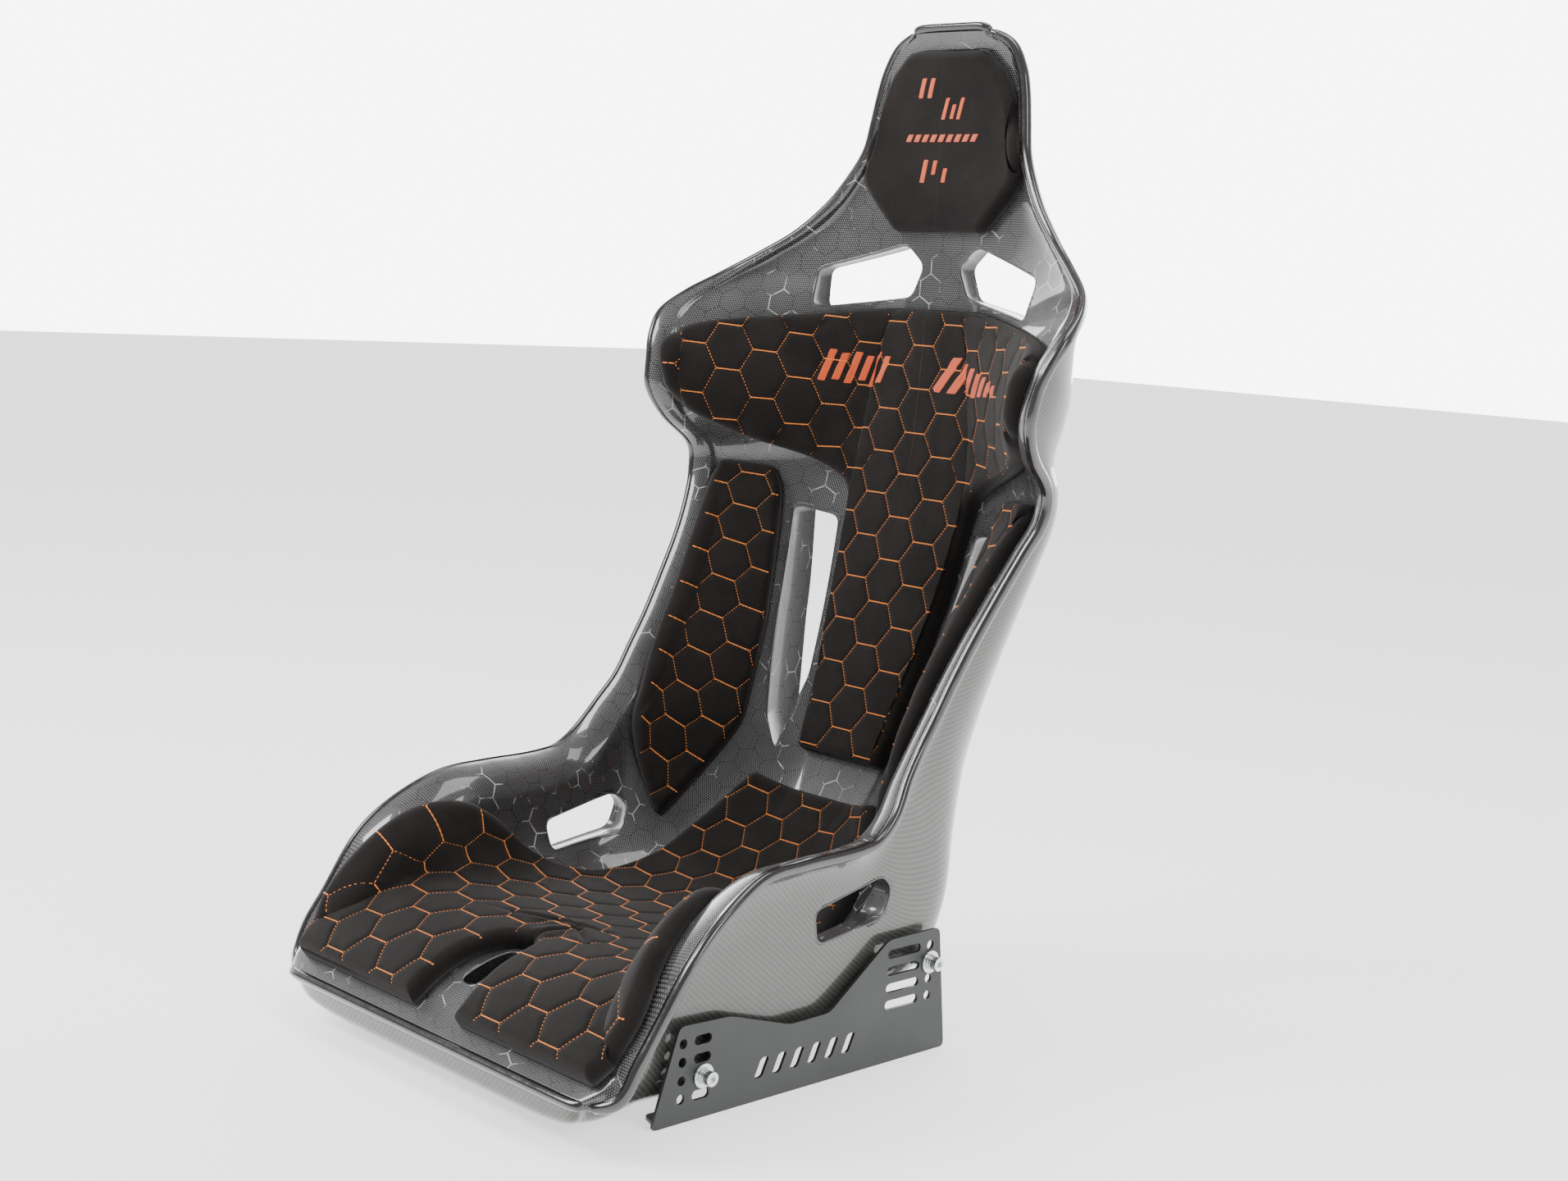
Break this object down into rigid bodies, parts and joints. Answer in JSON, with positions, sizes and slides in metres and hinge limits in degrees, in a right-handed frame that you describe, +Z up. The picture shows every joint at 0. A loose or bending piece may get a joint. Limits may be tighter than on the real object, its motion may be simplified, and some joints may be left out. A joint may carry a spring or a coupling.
{
  "type": "racing seat",
  "caption": "Fixed-back racing bucket seat: double-skin carbon shell with harness openings, stitched suede pads and bolt-on side brackets with height slots.",
  "frame": {"origin": "on the floor under the centre of the seat's bounding box", "axes": "+Z up, the occupant faces -Y, +X to the occupant's left, X=0 is the plane of symmetry"},
  "size_m": [0.5556, 0.6474, 0.9813],
  "materials": {
    "carbon_honeycomb": "clear-coated honeycomb-weave carbon, high gloss",
    "carbon_twill": "clear-coated fine twill carbon, gloss",
    "edge_resin": "gloss black resin bead",
    "suede": "black suede with orange stitching",
    "foam": "open-cell foam",
    "hook_and_loop": "woven hook-and-loop tape",
    "black_anodised": "satin grey-black",
    "zinc_plate": "bright zinc plate",
    "insert_steel": "plain machined steel"
  },
  "bodies": {
    "root": {"back_pad_cover": "suede", "back_pad_foam": "foam", "back_strip_lower": "hook_and_loop", "back_strip_upper": "hook_and_loop", "bolt_front_left": "zinc_plate", "bolt_front_right": "zinc_plate", "bolt_rear_left": "zinc_plate", "bolt_rear_right": "zinc_plate", "cushion_strip_front": "hook_and_loop", "cushion_strip_rear": "hook_and_loop", "flat_washer_front_left": "zinc_plate", "flat_washer_front_right": "zinc_plate", "flat_washer_rear_left": "zinc_plate", "flat_washer_rear_right": "zinc_plate", "head_pad_cover": "suede", "head_pad_foam": "foam", "head_strip_lower": "hook_and_loop", "head_strip_upper": "hook_and_loop", "insert_front_left": "insert_steel", "insert_front_right": "insert_steel", "insert_rear_left": "insert_steel", "insert_rear_right": "insert_steel", "lock_washer_front_left": "zinc_plate", "lock_washer_front_right": "zinc_plate", "lock_washer_rear_left": "zinc_plate", "lock_washer_rear_right": "zinc_plate", "rim_edge_bead": "edge_resin", "seat_cushion_cover": "suede", "seat_cushion_foam": "foam", "shell_inner_skin": "carbon_honeycomb", "shell_outer_skin": "carbon_twill", "side_bracket_left": "black_anodised", "side_bracket_right": "black_anodised", "side_pad_left_cover": "suede", "side_pad_left_foam": "foam", "side_pad_right_cover": "suede", "side_pad_right_foam": "foam", "side_strip_left": "hook_and_loop", "side_strip_right": "hook_and_loop", "spacer_front_left": "zinc_plate", "spacer_front_right": "zinc_plate", "spacer_rear_left": "zinc_plate", "spacer_rear_right": "zinc_plate"}
  },
  "joints": []
}
